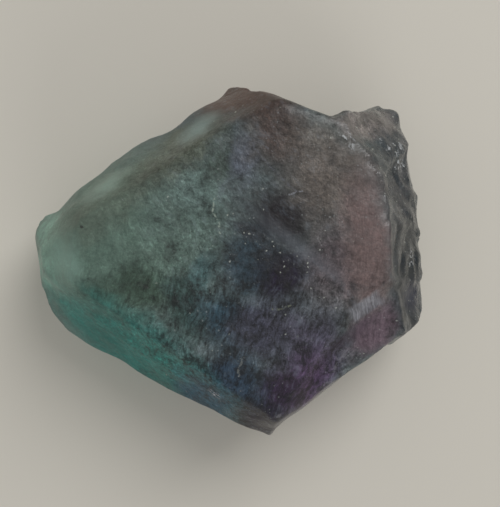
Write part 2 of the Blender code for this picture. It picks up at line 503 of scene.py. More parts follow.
def reach_of(points, azimuth):
    """How far points lie from the crystal's axis, towards an azimuth."""
    a = math.radians(azimuth)
    return points[:, 0] * math.cos(a) + points[:, 1] * math.sin(a)


def field(points, size, kind=noise.noise, offset=(0.0, 0.0, 0.0)):
    """A noise at each point, with features about this size across."""
    shift = Vector(offset)
    return np.array([kind(Vector(point) / size + shift) for point in points])


def lumps(points, size, height, offset):
    """A noise's height at each point, in millimetres."""
    return field(points, size, offset=offset) * height


def solid_relief(points):
    """The same movement of the surface that the solid has."""
    noise.seed_set(RELIEF_SEED)
    top = share(points[:, 2], TOP_FROM, TOP_FADE)
    rough = share(reach_of(points, BREAK_AZIMUTH), BREAK_FROM, BREAK_FADE)
    amount = RELIEF_SIDE + (RELIEF_TOP - RELIEF_SIDE) * top
    amount += (RELIEF_BREAK - amount) * rough
    wave = field(points, WAVE, noise.noise_vector)
    ripple = field(points, RIPPLE, noise.noise_vector)
    return amount[:, None] * (wave + RIPPLE_SHARE * ripple)


def terraces(height):
    """Turns a smooth height into flat ledges with short risers."""
    scaled = height * JUMP_LEVELS
    whole = np.floor(scaled)
    return (whole + share(scaled - whole, 1.0 - JUMP_EDGE, JUMP_EDGE)) / JUMP_LEVELS


def folds(points, azimuth, lean, pitch, bend):
    """Flat faces that meet in straight creases, as where cleavage has split the crystal."""
    along = points @ np.array(normal_of(azimuth, lean)) / pitch + bend
    return np.abs(along - np.floor(along) - 0.5) - 0.25


def splinters(points):
    """The stepped, splintered relief of the broken side, in millimetres."""
    bend = lumps(points, *BEND)
    jumps = terraces(lumps(points, *JUMPS)) * JUMP_REACH
    height = sum(
        folds(points, azimuth, lean, pitch, bend * turn + jumps) * depth
        for azimuth, lean, pitch, turn, depth in FOLDS
    )
    return height + lumps(points, *GRIT)


def linked(mesh, values, rounds):
    """Values averaged with those of the neighbours, round after round."""
    ends = np.empty(len(mesh.edges) * 2, np.int32)
    mesh.edges.foreach_get("vertices", ends)
    a, b = ends.reshape(-1, 2).T
    count = np.bincount(ends, minlength=len(values))
    for _ in range(rounds):
        total = np.bincount(a, values[b], len(values)) + np.bincount(b, values[a], len(values))
        values = total / count
    return values


def rims(mesh, points, normals, spacing):
    """1 along the crystal's outward edges and corners, 0 on its faces."""
    middle = np.stack([linked(mesh, points[:, axis], 1) for axis in range(3)], 1)
    proud = ((points - middle) * normals).sum(1)
    return share(linked(mesh, proud / spacing**2, RIM_SPREAD), *RIM_BEND)


def nudge(points):
    """Small local pushes that bring the broken outline to its place."""
    move = np.zeros_like(points)
    for _, x, y, reach, push_x, push_y in NUDGES:
        gap = (points[:, 0] - x) ** 2 + (points[:, 1] - y) ** 2
        weight = np.exp(-gap / reach**2)
        move[:, 0] += weight * push_x
        move[:, 1] += weight * push_y
    return move


def broken_share(points):
    """1 on the rough broken side and the horn, 0 on the flat cleavage faces."""
    shares = (share(reach_of(points, azimuth), *fade) for azimuth, *fade in BROKEN)
    return np.maximum(*shares)


def wear(crystal, radius, grain, **settings):
    """Smooths the skin until its edges are rounded by about this radius, in millimetres."""
    rounds = max(1, round(WEAR_ROUNDS * (radius * MM / grain) ** 2))
    apply_modifier(crystal, "SMOOTH", factor=WEAR_FACTOR, iterations=rounds, **settings)


def wear_group(crystal):
    """Weights the corners by how much handling has rounded them: most at the pale end."""
    points = points_of(crystal.data)
    weights = share(-points[:, 0], *WORN_END) * share(points[:, 2], *WORN_TOP)
    group = crystal.vertex_groups.new(name=WORN)
    steps = np.round(weights * WORN_STEPS).astype(int)
    for step in range(1, WORN_STEPS + 1):
        chosen = np.flatnonzero(steps == step).tolist()
        group.add(chosen, step / WORN_STEPS, "REPLACE")


def carve(crystal, spacing):
    """Moves the skin: the solid's own relief first, then splinters, bruised rims and frost."""
    mesh = crystal.data
    points = points_of(mesh)
    rim = rims(mesh, points, normals_of(mesh), spacing)
    attribute = mesh.attributes.new(RIM, "FLOAT", "POINT")
    attribute.data.foreach_set("value", rim.astype(np.float32))

    resting = share(points[:, 2], 0.0, REST_BAND)
    broken = broken_share(points)
    move = solid_relief(points) + nudge(points)
    move[:, 2] *= resting
    place_points(mesh, points + move)

    points = points_of(mesh)
    normals = normals_of(mesh)
    height = (lumps(points, *FINE_FROST) + lumps(points, *WIDE_FROST)) * (1.0 - broken)
    rough = np.flatnonzero(broken > 0.0)
    height[rough] += splinters(points[rough]) * broken[rough]
    knocked = np.flatnonzero(rim > 0.0)
    bruises = share(lumps(points[knocked], *BRUISES), *BRUISE_FADE)
    height[knocked] -= bruises * rim[knocked] * BRUISE_DEPTH * (1.0 + broken[knocked])
    points += normals * (height * resting)[:, None]
    points[:, 2] = np.maximum(points[:, 2], 0.0)
    place_points(mesh, points)


# --- Finish ---
# Colour zones, painted in order: name, display colour, middle (x, y), half sizes, turn in
# degrees. They run through the crystal from top to base, and their rims are soft and warped.
ZONES = (
    ("green end", (86, 108, 97), (-12.0, 1.1), (8.9, 8.1), 0.0),
    ("mint nub", (127, 162, 147), (-17.1, 0.2), (2.1, 3.1), 0.0),
    ("mint shoulder", (90, 104, 92), (-11.4, 4.8), (6.8, 2.0), 38.0),
    ("grey shoulder", (80, 87, 76), (-5.8, 8.7), (4.4, 1.7), 38.0),
    ("green veil", (82, 100, 93), (-5.8, 3.2), (3.6, 3.1), 30.0),
    ("pale veil", (91, 110, 105), (-4.0, 5.0), (2.5, 1.9), -40.0),
    ("grey slope", (61, 74, 68), (-2.1, 7.5), (1.9, 1.5), 40.0),
    ("blue veil", (76, 82, 92), (-0.3, 7.9), (1.2, 2.2), 10.0),
    ("green shade", (62, 81, 71), (-11.6, -3.3), (2.3, 1.3), 0.0),
    ("olive body", (55, 74, 62), (-8.6, -2.8), (2.4, 1.9), -20.0),
    ("deep teal", (40, 60, 56), (-5.2, -4.4), (1.5, 3.2), 0.0),
    ("pale fleece", (58, 82, 82), (-3.6, -1.8), (0.8, 1.7), -20.0),
    ("deep blue", (27, 51, 62), (-1.8, -5.9), (2.9, 2.2), -30.0),
    ("slate heart", (36, 52, 61), (0.3, -0.8), (2.6, 2.6), -30.0),
    ("brown crown", (63, 51, 46), (2.7, 10.4), (2.7, 3.8), 20.0),
    ("brown side", (91, 83, 77), (6.9, 6.2), (3.4, 4.8), 0.0),
    ("dull side", (75, 67, 70), (7.6, -1.3), (2.7, 3.4), 0.0),
    ("mauve window", (109, 90, 88), (10.3, 0.6), (2.2, 6.2), 3.0),
    ("upper indigo", (10, 4, 10), (3.1, 3.2), (2.6, 2.0), -20.0),
    ("dark bridge", (38, 44, 50), (0.8, 1.9), (1.5, 1.0), -30.0),
    ("lower indigo", (10, 2, 24), (3.3, -2.0), (2.2, 2.7), -10.0),
    ("dusk heart", (46, 47, 59), (1.3, -6.7), (2.9, 2.6), 0.0),
    ("lilac foot", (56, 53, 66), (5.6, -7.6), (2.9, 2.9), 0.0),
    ("purple foot", (63, 47, 71), (4.8, -11.1), (3.4, 2.4), 35.0),
    ("purple root", (36, 20, 42), (2.7, -11.5), (1.5, 1.7), 0.0),
    ("blue foot", (28, 45, 60), (-1.0, -11.1), (2.9, 2.2), -30.0),
    # The teal rim is the crystal's own teal, painted brighter to stand for the glow of light through
    # the thin lower left bevel.
    ("teal glow rim", (20, 108, 101), (-10.1, -8.8), (9.0, 2.8), -35.0),
    ("sea foot", (22, 66, 84), (-3.9, -12.8), (3.0, 2.0), -35.0),
    ("brown apex", (75, 57, 50), (-0.6, 13.9), (3.8, 2.3), 10.0),
    ("corner ledge", (96, 80, 89), (11.3, -6.4), (2.9, 1.4), 35.0),
    ("dark tip", (8, 3, 24), (1.8, -14.8), (2.7, 2.7), 0.0),
)
BODY_COLOUR = (72, 82, 83)
ZONE_RIM = 0.55
ZONE_DEPTH = 60.0
BREAK_COLOUR = (76, 76, 78)
BREAK_DARK = (36, 42, 48)
HORN_COLOUR = (112, 105, 102)
HORN_OVAL = ((10.4, 11.4), (3.2, 1.5), 12.0)
HORN_SOFT = 0.4
# Painted glow: a pale teal laid over the lowest part of the crystal, where light would come through.
LOW_GLOW_COLOUR = (110, 126, 124)
VEIL_COLOUR = (104, 112, 122)
# Colour of the pale outward edges: partly pale scuffs and partly a painted edge highlight.
RIM_COLOUR = (140, 146, 144)
# Colours of the painted glints: small and bright specks, and clusters of sparks.
SMALL_GLINT_COLOUR = (150, 156, 156)
GLINT_COLOUR = (190, 194, 184)
SPARK_COLOUR = (205, 208, 212)

# Clusters of painted glints, bright cleavage faces that catch the light: name, middle, half sizes,
# turn, strength.
SPARKS = (
    ("corner spark", (13.3, 9.3), (0.9, 0.6), 20.0, 0.85),
    ("lower spark", (13.8, 7.9), (0.5, 0.7), -50.0, 0.8),
    ("horn scuff", (8.5, 10.0), (0.5, 1.3), 25.0, 0.5),
    ("side glint", (15.0, -0.4), (0.5, 0.8), 0.0, 0.5),
    ("foot glint", (-2.8, -12.3), (0.6, 0.35), -30.0, 0.7),
)
SPARK_SOFT = 0.4

# Pale glows in the shoulder: name, colour, middle, half sizes, turn, strength.
GLOWS = (
    ("mint glow", (138, 160, 148), (-12.4, 6.0), (1.8, 0.75), 36.0, 0.85),
    ("upper glow", (134, 152, 147), (-4.3, 11.1), (1.7, 0.7), 38.0, 0.9),
    ("nub glow", (136, 166, 153), (-15.9, -0.6), (1.3, 2.1), 0.0, 0.85),
)
GLOW_SOFT = 0.95

# Patches over the zones: name, colour, middle, half sizes, turn, softness of the rim, strength.
PATCHES = (
    ("veil band", (92, 96, 104), (4.3, 0.6), (4.4, 0.6), -38.0, 0.9, 0.4),
    ("dark speck", (44, 44, 42), (-14.1, 2.2), (0.15, 0.13), 0.0, 0.3, 0.9),
    ("dark ledge", (60, 50, 60), (8.9, -7.1), (2.0, 0.5), 40.0, 0.6, 0.6),
    ("horn shade", (42, 48, 53), (12.4, 9.2), (1.6, 1.4), 0.0, 0.8, 0.7),
    ("deep side", (20, 28, 33), (15.1, -0.9), (1.9, 5.4), 0.0, 0.8, 0.95),
    ("blue toe", (30, 34, 54), (15.2, -3.9), (1.2, 1.2), 0.0, 0.8, 0.8),
)

# The short pale riser of the ledge at the dark corner: a bar of fine upright lines.
LEDGE_RISER = ((10.2, -4.6), (1.5, 0.64), 33.0)
RISER_PALE = (158, 159, 166)
RISER_DARK = (86, 86, 92)
RISER_SOFT = 0.3
RISER_STRENGTH = 0.8
RISER_BLOTCH = 0.5

# Healed cracks, seams and scuffs: name, colour, half width, strength, bent line.
LINES = (
    ("curl", (150, 162, 150), 0.12, 0.8, ((-2.7, 4.6), (-2.9, 3.5), (-2.4, 2.7), (-2.3, 1.7))),
    ("long crack", (108, 110, 120), 0.16, 0.4, ((0.0, 10.2), (0.8, 8.8), (2.8, 6.5), (4.2, 5.3))),
    ("bright crack", (140, 142, 150), 0.12, 0.65, ((3.6, 5.0), (4.7, 5.3))),
    ("yellow mark", (132, 138, 118), 0.12, 0.6, ((2.2, -4.8), (2.9, -4.8), (3.7, -4.5))),
    ("dark mark", (34, 32, 38), 0.16, 0.6, ((2.2, -4.6), (2.4, -4.9))),
    ("pale dash", (126, 130, 126), 0.16, 0.55, ((-0.3, -8.9), (-0.6, -9.6), (-0.7, -10.4))),
    ("upper seam", (112, 112, 120), 0.12, 0.4, ((0.5, 9.7), (1.3, 9.3), (2.2, 8.7))),
    ("ridge", (104, 110, 112), 0.22, 0.4, ((1.0, 1.7), (2.8, 0.7), (4.5, 0.1))),
    ("low ridge", (98, 100, 108), 0.3, 0.35, ((4.5, 0.1), (6.4, -1.3), (8.4, -3.0), (9.3, -4.5))),
    ("corner scuff", (128, 126, 132), 0.22, 0.6, ((8.4, -8.8), (7.7, -9.8), (7.2, -10.8))),
    ("small scuff", (124, 122, 128), 0.14, 0.5, ((7.7, -9.0), (8.2, -9.6), (8.7, -9.7))),
)
LINE_CORE = 0.2

# Noises: size of a feature, detail, roughness and, for the mottle, warp.
TORN = (1.1, 3.0, 0.55)
MOTTLE = (1.6, 4.0, 0.62, 0.5)
FLEECE = (1.1, 4.0, 0.66)
CLOUDS = (2.2, 4.0, 0.6)
FINE = (0.4, 3.0, 0.72)
GRAIN = (0.16, 1.0, 0.7)
PALE_RIM_NOISE = (0.5, 3.0, 0.7)
BLOTCHES = (0.9, 3.0, 0.55)
FADED = (0.35, 3.0, 0.7)
SWARM = (1.6, 3.0, 0.6)
FROST = (0.7, 2.0, 0.55)
FINE_BUMPS = (0.34, 3.0, 0.6)
WIDE_BUMPS = (1.2, 1.0, 0.55)
THIN_STEPS = (1.0, 2.0, 0.6)

# Drawn-out noises: turn in degrees, length, width, detail, roughness.
COMBED = (76.0, 1.6, 0.36, 4.0, 0.68)
SLANTED = (-50.0, 1.4, 0.5, 4.0, 0.66)
LOW_DASHES = (70.0, 0.8, 0.2, 2.0, 0.7)
HIGH_DASHES = (-56.0, 0.7, 0.2, 2.0, 0.7)
FLUTES = (88.0, 5.0, 0.5, 1.0, 0.6)
STRIAE = (86.0, 1.0, 0.13, 1.0, 0.6)
RISER_LINES = (104.0, 2.4, 0.16, 3.0, 0.6)
SHARDS = (-40.0, 0.7, 0.26, 3.0, 0.7)

# Drifts that tear the rim of what is drawn on them: size of a feature, reach, detail.
WIDE_DRIFT = (4.5, 1.4, 2.0)
MIDDLE_DRIFT = (1.2, 0.8, 2.0)
SMALL_DRIFT = (0.5, 0.3, 1.0)
HORN_DRIFT = (1.6, 1.0, 1.0)
FLOW_DRIFT = (3.4, 1.0, 2.0)
FLEECE_DRIFT = (0.9, 0.4, 1.0)
FINE_DRIFT = (0.6, 0.3, 1.0)
NEAR_DRIFT = (0.6, 0.14, 1.0)
LOOSE_DRIFT = (1.7, 0.6, 1.0)
RISER_DRIFT = (0.35, 0.16, 1.0)
SHARD_DRIFT = (0.5, 0.2, 2.0)

# Where a layer comes in, in millimetres: none of it at the first number and all of it at the
# second. A third number is its strength there.
BREAK_EDGE = (11.9, 13.3)
BREAK_HEIGHT = (4.5, 9.0, 0.7)
HORN_EDGE = (12.0, 12.8)
LOW_END = (3.0, -4.0)
PALE_END = (-4.0, -13.0, 0.62)
BACK_SLOPE = (9.5, 13.0, 0.6)
WINDOW = (7.5, 10.0, 0.55)
WINDOW_HEIGHT = (12.6, 13.4)
SLOPE_CALM = (12.0, 9.0, 0.45)
FLUTED_END = (-5.0, -9.0, 0.3)
STRIATED_END = (3.0, 7.0, 0.6)
STRIATED_HEIGHT = (13.5, 14.5)
SHOULDER = (4.0, 9.0)
NUB = (-13.0, -16.5)
# Painted glow, where light would come through thin crystal: low on the pale shoulder and the nub,
# and towards the base.
SHOULDER_GLOW = (14.8, 9.0, 0.35)
LOW_GLOW_GAIN = (8.5, 3.0, 0.3)
LOW_GLOW_HEIGHT = (6.0, 0.0, 0.35)
VEIL_START = (-11.0, -5.0)
VEIL_STOP = (10.0, 5.0, 0.32)
PALE_RIM_END = (9.0, 14.0, 0.26)
UPPER_PART = (5.5, 8.0)
GLOW_HEIGHT = (7.0, 12.0)
TOP_FACE = (13.0, 14.0)
BAND_SIDE = (1.5, 0.4)
BAND_START = (-4.5, -2.0)
BAND_STOP = (9.0, 6.0)
SPECKLED_BREAK = (11.5, 12.8)
SPECKLED_MIDDLE = (-9.0, -4.0)
GLOSSY_BREAK = (11.5, 13.0)
GLOSSY_TOP = (14.2, 14.8)
GLOSSY_FOOT = (7.0, 4.0)
GLOSSY_FRONT = (12.0, 13.5)
STEPPED_HEIGHT = (9.5, 7.0)
STEPPED_END = (-9.0, -1.0)

# How high a noise, the rim or a speck's pick must be to show, on the same plan.
MOTTLE_CUT = (0.36, 0.64)
DASH_CUT = (0.52, 0.66)
DASH_CLOUDS = (0.4, 0.56, 0.75)
PALE_CUT = (0.52, 0.66)
RIM_CUT = (0.25, 1.0)
PALE_RIM_CUT = (0.42, 0.6)
RISER_CUT = (0.3, 0.78)
FADED_CUT = (0.42, 0.58)
SWARM_CUT = (0.44, 0.62)
SHARD_CUT = (0.53, 0.62)
PICK_CUT = (0.98, 1.02)

# Directions, shares and strengths of the layers.
CALM_AZIMUTH = 110.0
SHOULDER_AZIMUTH = 125.0
FRONT_AZIMUTH = -55.0
BAND_AZIMUTH = 52.0
BAND_MIDDLE = 1.6
TORN_REACH = 1.8
BREAK_LEAST = 0.3
HORN_MOTTLE = 0.3
BASE_LIGHT = 0.92
LEAST_LIGHT = 0.25
FINE_SHARE = 2.2
LOW_BUSY = 0.35
LAYER_SHARES = ((1.0, 1.9), (0.9, 0.5), (1.4, 0.4))
PALE_SHARES = (0.5, 0.3, 0.2)
GRAIN_SHARES = (0.3, 0.7)
PALE_RIM_LEAST = 0.04

# Thin layers of cleavage on the sides.
STEP_PLANE = (65.0, -CLEAVAGE_LEAN)
STEP_PITCH = 0.6
STEP_DRIFT = 0.12
STEP_LIGHT = 0.9
STEP_BUMP = 4.0

# Painted glints, as specks: the spacing of their cells, the radius of one, and how bright they are.
SMALL_GLINTS = (0.34, 0.09, 0.45)
BRIGHT_GLINTS = (0.48, 0.1, 0.65)
SMALL_GLINT_SHARES = (0.04, 0.22, 0.2)
BRIGHT_GLINT_SHARES = (0.7, 0.25, 0.1)
SPECK_SHAKE = (0.5, 0.3)
SPECK_CORE = 0.3

# The skin's gloss and frost.
REFRACTION = 1.434
SPECULAR_LEVEL = 0.25
FROST_SPREAD = 0.3
BREAK_POLISH = 0.15
BREAK_GLOSS = 0.5
RIM_DULLING = 0.7
LEAST_GLOSS = 0.2
WIDE_BUMP_SHARE = 1.5
BREAK_SMOOTHING = 0.65


def zone_mask(paint, place, middle, sizes, turn, soft=ZONE_RIM):
    """1 inside an oval column and 0 outside it, across a soft rim."""
    local = paint.framed(place, middle, (*sizes, ZONE_DEPTH), turn)
    return paint.vector("LENGTH", local, output="Value").rise(1.0 + soft, 1.0 - soft)


def bar_mask(paint, place, middle, sizes, turn, soft):
    """1 inside a straight-sided bar and 0 outside it, across a soft rim."""
    along, across, _ = paint.parts(paint.framed(place, middle, (*sizes, ZONE_DEPTH), turn))
    return along.size().most(across.size()).rise(1.0 + soft, 1.0 - soft)


def shaken(paint, place, size, reach, detail=1.0):
    """The place pushed about by a noise, so that what is drawn there has a torn rim."""
    drift = paint.noise(place, size, detail, output="Color")
    centred = paint.vector("SUBTRACT", drift, (0.5, 0.5, 0.5))
    return paint.vector("MULTIPLY_ADD", centred, (2.0 * reach,) * 3, place)


def streaks(paint, place, turn, length, width, detail, rough):
    """A noise drawn out along one direction, from 0 to 1."""
    drawn = paint.framed(place, (0.0, 0.0), (length, width, width), turn)
    return paint.noise(drawn, 1.0, detail, rough)


def side_steps(paint, place):
    """Thin layers along one cleavage plane on the dark end's sides, from -0.5 to 0.5."""
    x, y, z = paint.parts(place)
    layer = paint.vector("DOT_PRODUCT", place, tuple(normal_of(*STEP_PLANE)), output="Value")
    drawn = {"X": layer * (1.0 / STEP_PITCH), "Y": x * STEP_DRIFT, "Z": y * STEP_DRIFT}
    steps = paint.noise(paint.node("ShaderNodeCombineXYZ", None, drawn), *THIN_STEPS) - 0.5
    return steps * z.rise(*STEPPED_HEIGHT) * x.rise(*STEPPED_END)


def line_mask(paint, flat, points, width):
    """1 along a bent line and 0 off it. The place is seen from above."""
    nearest = None
    for start, end in zip(points, points[1:]):
        span = Vector((*end, 0.0)) - Vector((*start, 0.0))
        offset = paint.vector("SUBTRACT", flat, (*start, 0.0))
        along = paint.vector("DOT_PRODUCT", offset, tuple(span), output="Value")
        along = (along * (1.0 / span.length_squared)).most(0.0).least(1.0)
        scale = {"Vector": tuple(span), "Scale": along}
        foot = paint.node("ShaderNodeVectorMath", {"operation": "SCALE"}, scale)
        gap = paint.vector("DISTANCE", offset, foot, output="Value")
        nearest = nearest.least(gap) if nearest else gap
    return nearest.rise(width, LINE_CORE * width)


def towards(x, y, azimuth):
    """How far the place lies from the crystal's axis, towards an azimuth."""
    a = math.radians(azimuth)
    return x * math.cos(a) + y * math.sin(a)


def either(mask, inside, outside):
    """One value where the mask is 1 and the other where it is 0."""
    return inside * mask + outside * (1.0 - mask)


def weighed(values, shares):
    """The sum of the values, each times its share."""
    first, *rest = (value * share for value, share in zip(values, shares))
    return sum(rest, first)


def zone_colour(paint, place):
    """The soft zones, one over another."""
    for drift in (WIDE_DRIFT, MIDDLE_DRIFT, SMALL_DRIFT):
        place = shaken(paint, place, *drift)
    colour = srgb(*BODY_COLOUR)
    for _, shade, middle, sizes, turn in ZONES:
        colour = paint.over(colour, shade, zone_mask(paint, place, middle, sizes, turn))
    return colour


def broken_colour(paint, place, colour):
    """Dark mottled grey on the broken side, and a paler horn."""
    x, y, z = paint.parts(place)
    torn = (paint.noise(place, *TORN) - 0.5) * TORN_REACH
    mottle = paint.noise(place, *MOTTLE).rise(*MOTTLE_CUT)
    side = paint.over(srgb(*BREAK_DARK), BREAK_COLOUR, mottle)
    horn = paint.over(srgb(*BREAK_DARK), HORN_COLOUR, mottle * HORN_MOTTLE + (1.0 - HORN_MOTTLE))
    edge = (towards(x, y, SIDE_AZIMUTH) + torn).rise(*BREAK_EDGE)
    colour = paint.mix(edge * (z.rise(*BREAK_HEIGHT) + BREAK_LEAST), colour, side)
    edge = (towards(x, y, HORN_AZIMUTH) + torn).rise(*HORN_EDGE)
    pale = zone_mask(paint, shaken(paint, place, *HORN_DRIFT), *HORN_OVAL, HORN_SOFT)
    return paint.mix(pale * edge, colour, horn)


def unrest(paint, place, low):
    """How strong the veils are: least at the pale end, on the back slope and in the window."""
    x, y, z = paint.parts(place)
    calm = x.rise(*PALE_END).most(towards(x, y, CALM_AZIMUTH).rise(*BACK_SLOPE))
    calm = calm.most(x.rise(*WINDOW) * z.rise(*WINDOW_HEIGHT))
    return (1.0 - calm) * (1.0 + low * LOW_BUSY) * (1.0 - z.rise(*SLOPE_CALM))


def add_texture(paint, place, colour):
    """Clouds, combed veils, striae and grain, which lighten and darken the zones, and painted glow
    where light would come through thin crystal: low on the pale shoulder and nub, and towards the
    base.
    """
    x, y, z = paint.parts(place)
    low = y.rise(*LOW_END)
    busy = unrest(paint, place, low)
    flow = shaken(paint, place, *FLOW_DRIFT)
    veils = either(low, streaks(paint, flow, *COMBED), streaks(paint, flow, *SLANTED))
    dashes = either(low, streaks(paint, flow, *LOW_DASHES), streaks(paint, flow, *HIGH_DASHES))
    fleece = paint.noise(shaken(paint, place, *FLEECE_DRIFT), *FLEECE)
    clouds = paint.noise(flow, *CLOUDS)
    fine = paint.noise(shaken(paint, place, *FINE_DRIFT), *FINE) - 0.5
    rough = fine * FINE_SHARE + dashes.rise(*DASH_CUT) * clouds.rise(*DASH_CLOUDS)
    for layer, (share_all, share_low) in zip((veils, fleece, clouds), LAYER_SHARES):
        rough = rough + (layer - 0.5) * (low * share_low + share_all)

    flutes = (streaks(paint, place, *FLUTES) - 0.5) * x.rise(*FLUTED_END)
    striae = (streaks(paint, place, *STRIAE) - 0.5) * x.rise(*STRIATED_END)
    grain = (paint.noise(place, *GRAIN) - 0.5) * weighed((1.0, busy), GRAIN_SHARES)
    # Painted glow: lighter low on the pale shoulder and the nub, where light would come through the
    # thin edge.
    shoulder = towards(x, y, SHOULDER_AZIMUTH).rise(*SHOULDER).most(x.rise(*NUB))
    light = rough * busy + BASE_LIGHT
    for change in (
        flutes,
        striae * z.rise(*STRIATED_HEIGHT),
        grain,
        shoulder * z.rise(*SHOULDER_GLOW),
        # Painted glow: lighter towards the base.
        z.rise(*LOW_GLOW_GAIN),
        side_steps(paint, place) * STEP_LIGHT,
    ):
        light = light * (1.0 + change)

    colour = paint.mix(1.0, colour, paint.grey(light.most(LEAST_LIGHT)), "MULTIPLY")
    # Painted glow: pale teal laid over the lowest part.
    colour = paint.over(colour, LOW_GLOW_COLOUR, z.rise(*LOW_GLOW_HEIGHT))
    pale = weighed((veils, fleece, clouds), PALE_SHARES).rise(*PALE_CUT)
    return paint.over(colour, VEIL_COLOUR, pale * x.rise(*VEIL_START) * x.rise(*VEIL_STOP))


def rim_of(paint):
    """1 along the outward edges, as the skin's attribute holds it."""
    return paint.node("ShaderNodeAttribute", {"attribute_name": RIM}, output="Fac")


def add_rims(paint, place, colour):
    """Paler outward edges, most on the dark end: partly pale scuffs and partly a painted edge
    highlight.
    """
    x = paint.parts(place)[0]
    pale_rim_spots = paint.noise(place, *PALE_RIM_NOISE).rise(*PALE_RIM_CUT)
    amount = rim_of(paint).rise(*RIM_CUT) * pale_rim_spots * (x.rise(*PALE_RIM_END) + PALE_RIM_LEAST)
    return paint.over(colour, RIM_COLOUR, amount)


def add_patches(paint, place, colour):
    """The glows in the shoulder, and the patches and the riser that lie on the upper face."""
    z = paint.parts(place)[2]
    upper = z.rise(*UPPER_PART)
    near = shaken(paint, place, *NEAR_DRIFT)
    loose = shaken(paint, near, *LOOSE_DRIFT)
    for _, shade, *oval, strength in GLOWS:
        mask = zone_mask(paint, loose, *oval, GLOW_SOFT) * z.rise(*GLOW_HEIGHT) * strength
        colour = paint.over(colour, shade, mask)
    for _, shade, *oval, strength in PATCHES:
        mask = zone_mask(paint, near, *oval) * upper * strength
        colour = paint.over(colour, shade, mask)
    flat = paint.vector("MULTIPLY", near, (1.0, 1.0, 0.0))
    blotches = (paint.noise(flat, *BLOTCHES) - 0.5) * RISER_BLOTCH
    lined = (streaks(paint, flat, *RISER_LINES) + blotches).rise(*RISER_CUT)
    riser = paint.over(srgb(*RISER_DARK), RISER_PALE, lined)
    bar = bar_mask(paint, shaken(paint, place, *RISER_DRIFT), *LEDGE_RISER, RISER_SOFT)
    return paint.mix(bar * upper * RISER_STRENGTH, colour, riser)


def add_lines(paint, place, colour):
    """Healed cracks, seams and scuffs of the upper face, which fade in and out."""
    z = paint.parts(place)[2]
    flat = paint.vector("MULTIPLY", shaken(paint, place, *NEAR_DRIFT), (1.0, 1.0, 0.0))
    faded = paint.noise(place, *FADED).rise(*FADED_CUT) * z.rise(*TOP_FACE)
    for _, shade, width, strength, points in LINES:
        mask = line_mask(paint, flat, points, width) * faded * strength
        colour = paint.over(colour, shade, mask)
    return colour


def specks(paint, place, share_lit, size, radius, strength):
    """Scattered dots with ragged outlines: full strength on a dot and 0 between them."""
    shake = (size * part for part in SPECK_SHAKE)
    cells = {"Vector": shaken(paint, place, *shake), "Scale": 1.0 / size}
    gap = paint.node("ShaderNodeTexVoronoi", None, cells, "Distance")
    pick = paint.parts(Socket(paint, gap.socket.node.outputs["Color"]))[0]
    dot = gap.rise(radius / size, SPECK_CORE * radius / size)
    return dot * (pick + share_lit).rise(*PICK_CUT) * strength


def add_glints(paint, place, colour):
    """Painted glints: bright specks where tiny cleavage faces catch the light."""
    x, y, _ = paint.parts(place)
    swarm = paint.noise(place, *SWARM).rise(*SWARM_CUT)
    band = (towards(x, y, BAND_AZIMUTH) - BAND_MIDDLE).size().rise(*BAND_SIDE)
    band = band * x.rise(*BAND_START) * x.rise(*BAND_STOP)
    broken = towards(x, y, BREAK_AZIMUTH).rise(*SPECKLED_BREAK)
    middle = x.rise(*SPECKLED_MIDDLE)
    small_glint_share = swarm * weighed((1.0, middle, broken), SMALL_GLINT_SHARES)
    bright_glint_share = weighed((band, broken, swarm * middle), BRIGHT_GLINT_SHARES)
    colour = paint.over(colour, SMALL_GLINT_COLOUR, specks(paint, place, small_glint_share, *SMALL_GLINTS))
    return paint.over(colour, GLINT_COLOUR, specks(paint, place, bright_glint_share, *BRIGHT_GLINTS))


def add_sparks(paint, place, colour):
    """Painted glints: clusters of small bright cleavage faces on the broken corner."""
    shards = shaken(paint, place, *SHARD_DRIFT)
    lit = streaks(paint, shards, *SHARDS).rise(*SHARD_CUT)
    for _, *oval, strength in SPARKS:
        mask = zone_mask(paint, shards, *oval, SPARK_SOFT) * lit * strength
        colour = paint.over(colour, SPARK_COLOUR, mask)
    return colour


def spar_colour(paint, place):
    """The crystal's colour, from its deepest layer to the specks on its skin."""
    colour = zone_colour(paint, place)
    layers = (
        broken_colour,
        add_texture,
        add_rims,
        add_patches,
        add_lines,
        add_glints,
        add_sparks,
    )
    for layer in layers:
        colour = layer(paint, place, colour)
    return colour


